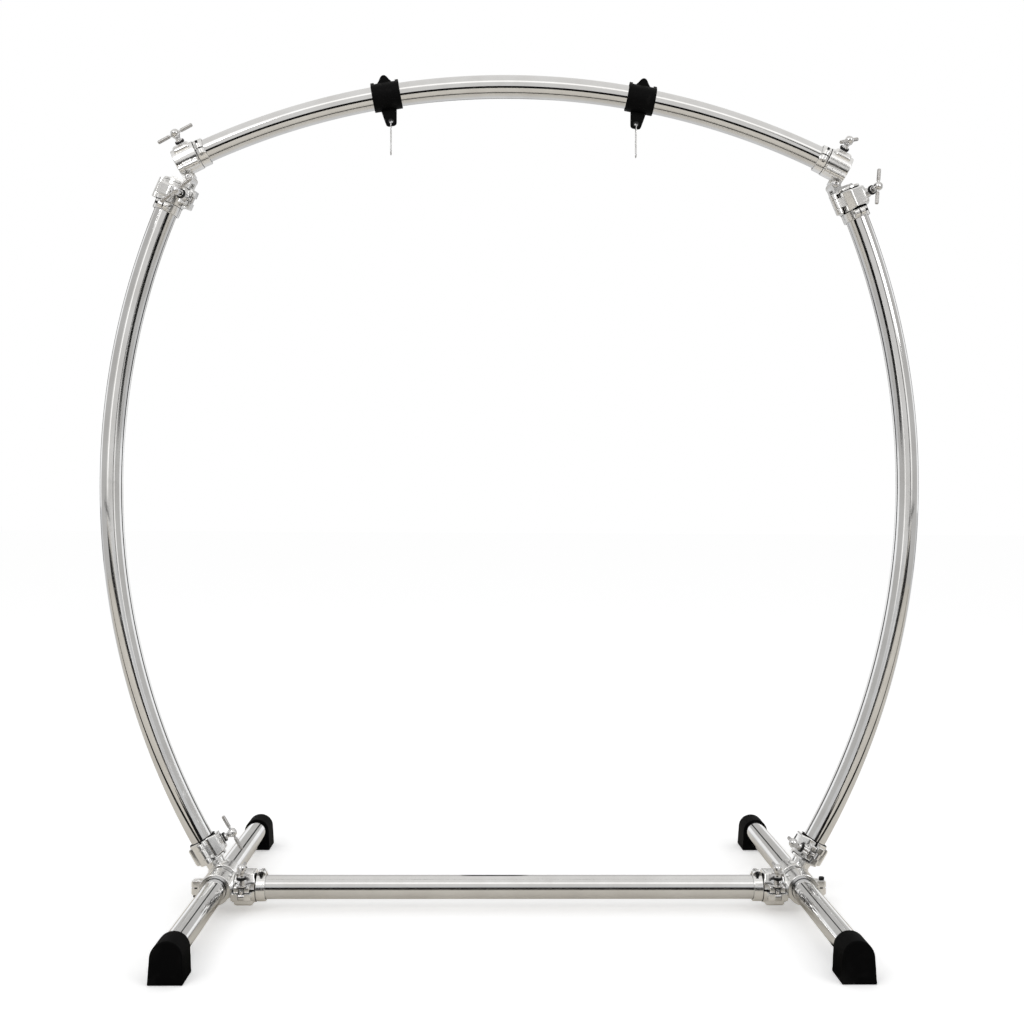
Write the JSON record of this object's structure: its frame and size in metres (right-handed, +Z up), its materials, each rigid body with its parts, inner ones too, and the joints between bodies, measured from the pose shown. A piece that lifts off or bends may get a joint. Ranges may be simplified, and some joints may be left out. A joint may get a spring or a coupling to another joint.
{
  "type": "gong stand",
  "caption": "Free-standing chrome tube frame with bowed uprights and arch, hinged T-bolt clamps, rubber feet and two leather hangers for a large gong.",
  "frame": {"origin": "on the floor under the middle of the frame", "axes": "+X to the right as seen from the front, +Y to the back, +Z up"},
  "size_m": [1.3738, 0.7166, 1.3812],
  "materials": {
    "chrome_tube": "polished chrome plating",
    "cast_chrome": "chromed zinc casting, slightly soft",
    "black_steel": "black oxide",
    "rubber": "moulded black rubber",
    "leather": "black leather",
    "wire": "bright steel wire"
  },
  "bodies": {
    "frame": {"upright_tube_left": "chrome_tube", "upright_tube_right": "chrome_tube", "top_arch_tube": "chrome_tube", "base_tube_left": "chrome_tube", "rubber_foot_front_left": "rubber", "rubber_foot_rear_left": "rubber", "base_tube_right": "chrome_tube", "rubber_foot_front_right": "rubber", "rubber_foot_rear_right": "rubber", "crossbar_tube": "chrome_tube", "upright_foot_clamp_left_casting": "cast_chrome", "upright_foot_clamp_left_jaw": "cast_chrome", "crossbar_clamp_left_casting": "cast_chrome", "crossbar_clamp_left_jaw": "cast_chrome", "ring_screw_left": "black_steel", "memory_lock_crossbar_left": "cast_chrome", "upright_foot_clamp_right_casting": "cast_chrome", "upright_foot_clamp_right_jaw": "cast_chrome", "crossbar_clamp_right_casting": "cast_chrome", "crossbar_clamp_right_jaw": "cast_chrome", "ring_screw_right": "black_steel", "memory_lock_crossbar_right": "cast_chrome", "arch_clamp_left_casting": "cast_chrome", "arch_clamp_left_jaw": "cast_chrome", "upright_top_clamp_left_casting": "cast_chrome", "upright_top_clamp_left_jaw": "cast_chrome", "pivot_bolt_left": "black_steel", "memory_lock_arch_left": "cast_chrome", "memory_lock_upright_left": "cast_chrome", "arch_clamp_right_casting": "cast_chrome", "arch_clamp_right_jaw": "cast_chrome", "upright_top_clamp_right_casting": "cast_chrome", "upright_top_clamp_right_jaw": "cast_chrome", "pivot_bolt_right": "black_steel", "memory_lock_arch_right": "cast_chrome", "memory_lock_upright_right": "cast_chrome"},
    "upright_foot_clamp_left_bolt": {"upright_foot_clamp_left_swing_bolt": "cast_chrome"},
    "upright_foot_clamp_left_nut": {"upright_foot_clamp_left_t_nut": "cast_chrome"},
    "upright_foot_clamp_right_bolt": {"upright_foot_clamp_right_swing_bolt": "cast_chrome"},
    "upright_foot_clamp_right_nut": {"upright_foot_clamp_right_t_nut": "cast_chrome"},
    "crossbar_clamp_left_bolt": {"crossbar_clamp_left_swing_bolt": "cast_chrome"},
    "crossbar_clamp_left_nut": {"crossbar_clamp_left_t_nut": "cast_chrome"},
    "crossbar_clamp_right_bolt": {"crossbar_clamp_right_swing_bolt": "cast_chrome"},
    "crossbar_clamp_right_nut": {"crossbar_clamp_right_t_nut": "cast_chrome"},
    "arch_clamp_left_bolt": {"arch_clamp_left_swing_bolt": "cast_chrome"},
    "arch_clamp_left_nut": {"arch_clamp_left_t_nut": "cast_chrome"},
    "arch_clamp_right_bolt": {"arch_clamp_right_swing_bolt": "cast_chrome"},
    "arch_clamp_right_nut": {"arch_clamp_right_t_nut": "cast_chrome"},
    "upright_top_clamp_left_bolt": {"upright_top_clamp_left_swing_bolt": "cast_chrome"},
    "upright_top_clamp_left_nut": {"upright_top_clamp_left_t_nut": "cast_chrome"},
    "upright_top_clamp_right_bolt": {"upright_top_clamp_right_swing_bolt": "cast_chrome"},
    "upright_top_clamp_right_nut": {"upright_top_clamp_right_t_nut": "cast_chrome"},
    "hanger_left": {"hanger_strap_left": "leather", "hanger_sleeve_left": "leather", "hanger_eyelet_left": "black_steel"},
    "link_left": {"wire_link_left": "wire"},
    "hanger_right": {"hanger_strap_right": "leather", "hanger_sleeve_right": "leather", "hanger_eyelet_right": "black_steel"},
    "link_right": {"wire_link_right": "wire"}
  },
  "joints": [
    {"name": "upright_foot_clamp_left_bolt_swing", "type": "hinge", "parent": "frame", "child": "upright_foot_clamp_left_bolt", "pos_m": [-0.50985, 0.051, 0.07942], "axis": [-0.5, 0, 0.866], "range_deg": [0, 57]},
    {"name": "upright_foot_clamp_left_nut_turn", "type": "hinge", "parent": "upright_foot_clamp_left_bolt", "child": "upright_foot_clamp_left_nut", "pos_m": [-0.50985, 0.051, 0.07942], "axis": [0.866, 0, 0.5], "continuous": true},
    {"name": "upright_foot_clamp_right_bolt_swing", "type": "hinge", "parent": "frame", "child": "upright_foot_clamp_right_bolt", "pos_m": [0.50985, -0.013, 0.07942], "axis": [0.5, 0, 0.866], "range_deg": [0, 57]},
    {"name": "upright_foot_clamp_right_nut_turn", "type": "hinge", "parent": "upright_foot_clamp_right_bolt", "child": "upright_foot_clamp_right_nut", "pos_m": [0.50985, -0.013, 0.07942], "axis": [-0.866, 0, 0.5], "continuous": true},
    {"name": "crossbar_clamp_left_bolt_swing", "type": "hinge", "parent": "frame", "child": "crossbar_clamp_left_bolt", "pos_m": [-0.43186, -0.068, 0.03], "axis": [1, 0, 0], "range_deg": [0, 60]},
    {"name": "crossbar_clamp_left_nut_turn", "type": "hinge", "parent": "crossbar_clamp_left_bolt", "child": "crossbar_clamp_left_nut", "pos_m": [-0.43186, -0.068, 0.03], "axis": [0, 0, 1], "continuous": true},
    {"name": "crossbar_clamp_right_bolt_swing", "type": "hinge", "parent": "frame", "child": "crossbar_clamp_right_bolt", "pos_m": [0.43186, -0.068, 0.03], "axis": [1, 0, 0], "range_deg": [0, 60]},
    {"name": "crossbar_clamp_right_nut_turn", "type": "hinge", "parent": "crossbar_clamp_right_bolt", "child": "crossbar_clamp_right_nut", "pos_m": [0.43186, -0.068, 0.03], "axis": [0, 0, 1], "continuous": true},
    {"name": "arch_clamp_left_bolt_swing", "type": "hinge", "parent": "frame", "child": "arch_clamp_left_bolt", "pos_m": [-0.54996, 0.04865, 1.24613], "axis": [-0.895, 0, -0.4462], "range_deg": [0, 75]},
    {"name": "arch_clamp_left_nut_turn", "type": "hinge", "parent": "arch_clamp_left_bolt", "child": "arch_clamp_left_nut", "pos_m": [-0.54996, 0.04865, 1.24613], "axis": [-0.3655, -0.5736, 0.7331], "continuous": true},
    {"name": "arch_clamp_right_bolt_swing", "type": "hinge", "parent": "frame", "child": "arch_clamp_right_bolt", "pos_m": [0.55064, 0.04791, 1.2475], "axis": [-0.895, 0, 0.4462], "range_deg": [0, 75]},
    {"name": "arch_clamp_right_nut_turn", "type": "hinge", "parent": "arch_clamp_right_bolt", "child": "arch_clamp_right_nut", "pos_m": [0.55064, 0.04791, 1.2475], "axis": [0.3516, -0.6157, 0.7052], "continuous": true},
    {"name": "upright_top_clamp_left_bolt_swing", "type": "hinge", "parent": "frame", "child": "upright_top_clamp_left_bolt", "pos_m": [-0.53742, 0.01369, 1.16536], "axis": [0.3987, 0, 0.9171], "range_deg": [0, 75]},
    {"name": "upright_top_clamp_left_nut_turn", "type": "hinge", "parent": "upright_top_clamp_left_bolt", "child": "upright_top_clamp_left_nut", "pos_m": [-0.53742, 0.01369, 1.16536], "axis": [-0.3137, -0.9397, 0.1364], "continuous": true},
    {"name": "upright_top_clamp_right_bolt_swing", "type": "hinge", "parent": "frame", "child": "upright_top_clamp_right_bolt", "pos_m": [0.59115, 0.03796, 1.18873], "axis": [-0.3987, 0, 0.9171], "range_deg": [0, 75]},
    {"name": "upright_top_clamp_right_nut_turn", "type": "hinge", "parent": "upright_top_clamp_right_bolt", "child": "upright_top_clamp_right_nut", "pos_m": [0.59115, 0.03796, 1.18873], "axis": [0.3876, -0.9063, 0.1685], "continuous": true},
    {"name": "hanger_left_shift", "type": "hinge", "parent": "frame", "child": "hanger_left", "pos_m": [0, 0.019, 0.14298], "axis": [0, 1, 0], "range_deg": [-13, 8]},
    {"name": "wire_link_left_swing", "type": "hinge", "parent": "hanger_left", "child": "link_left", "pos_m": [-0.20549, 0.019, 1.30109], "axis": [0, 1, 0], "range_deg": [-60, 60]},
    {"name": "hanger_right_shift", "type": "hinge", "parent": "frame", "child": "hanger_right", "pos_m": [0, 0.019, 0.14298], "axis": [0, 1, 0], "range_deg": [-8, 13]},
    {"name": "wire_link_right_swing", "type": "hinge", "parent": "hanger_right", "child": "link_right", "pos_m": [0.20549, 0.019, 1.30109], "axis": [0, 1, 0], "range_deg": [-60, 60]}
  ]
}
